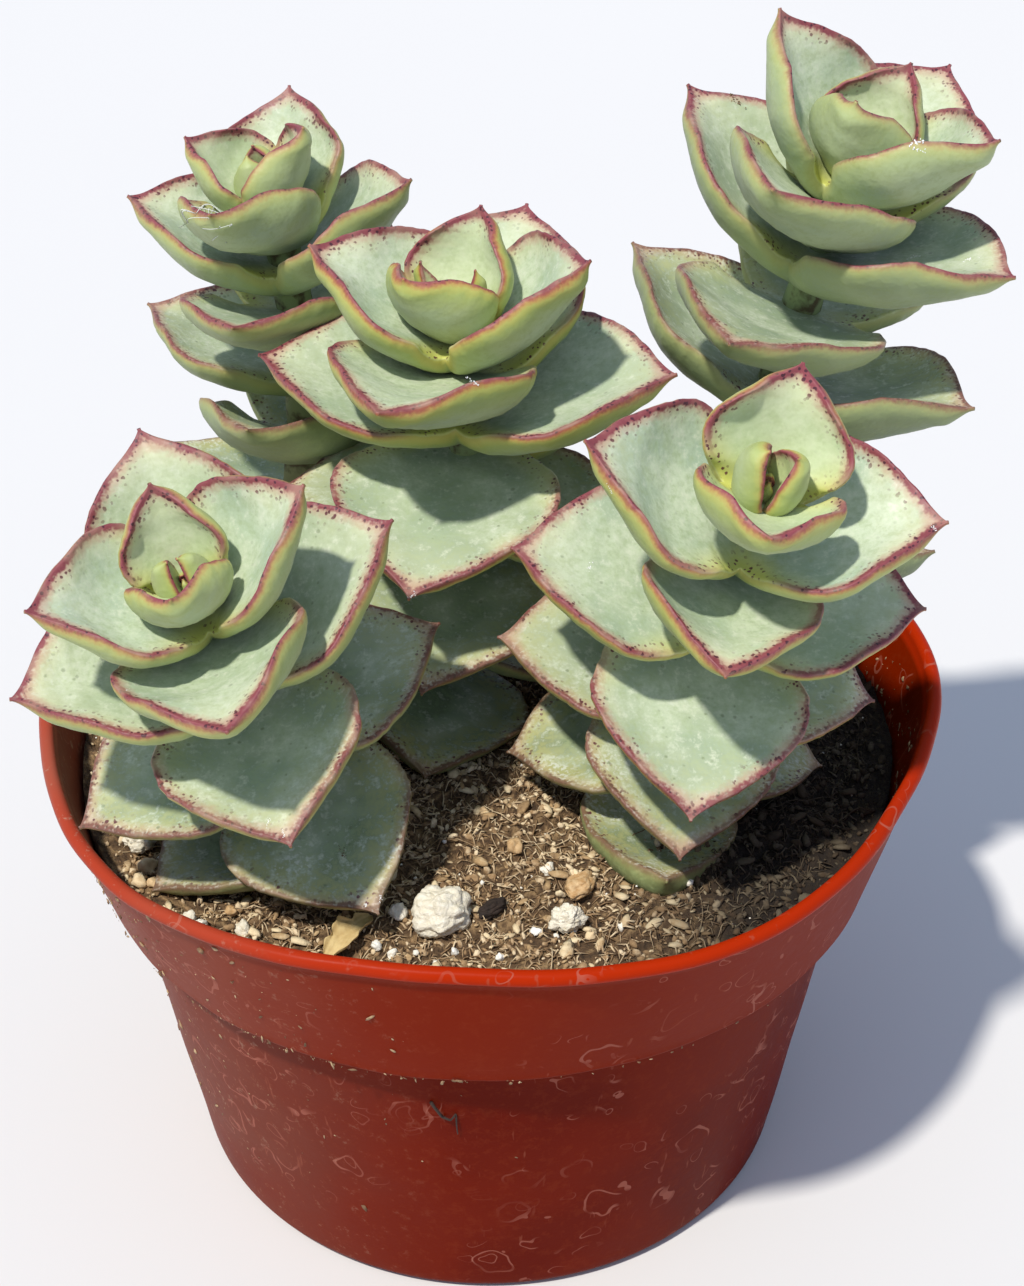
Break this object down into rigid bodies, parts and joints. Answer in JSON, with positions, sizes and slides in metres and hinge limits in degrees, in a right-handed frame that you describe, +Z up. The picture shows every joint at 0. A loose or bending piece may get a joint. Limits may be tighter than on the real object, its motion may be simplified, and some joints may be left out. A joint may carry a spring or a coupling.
{
  "type": "potted string of buttons succulent",
  "caption": "Leafy towers of a string of buttons succulent, pairs of pointed fleshy leaves threaded by the stem, growing in soil in a round red-brown nursery pot with a rolled lip.",
  "frame": {"origin": "middle of the pot's flat base, at the level it stands on", "axes": "+Z up along the pot's axis; -Y towards the side that the picture shows; +X to the right in the picture"},
  "size_m": [0.1092, 0.105, 0.1334],
  "materials": {
    "pot_plastic": "injection-moulded polypropylene, red-brown, satin body and glossier lip, dusty",
    "soil_mix": "dry peat and bark fibre with grit",
    "leaf": "fleshy mint-green leaf with a waxy bloom and a red margin",
    "perlite": "chalky expanded grain",
    "stone_chip": "rough tan grit",
    "bark": "dark torn bark"
  },
  "bodies": {
    "root": {"pot": "pot_plastic", "soil": "soil_mix", "tower_front_left": "leaf", "tower_front_right": "leaf", "tower_centre": "leaf", "tower_back_left": "leaf", "tower_back_right": "leaf", "perlite_large": "perlite", "perlite_left": "perlite", "perlite_front": "perlite", "stone_chip": "stone_chip", "bark_chip": "bark"}
  },
  "joints": []
}
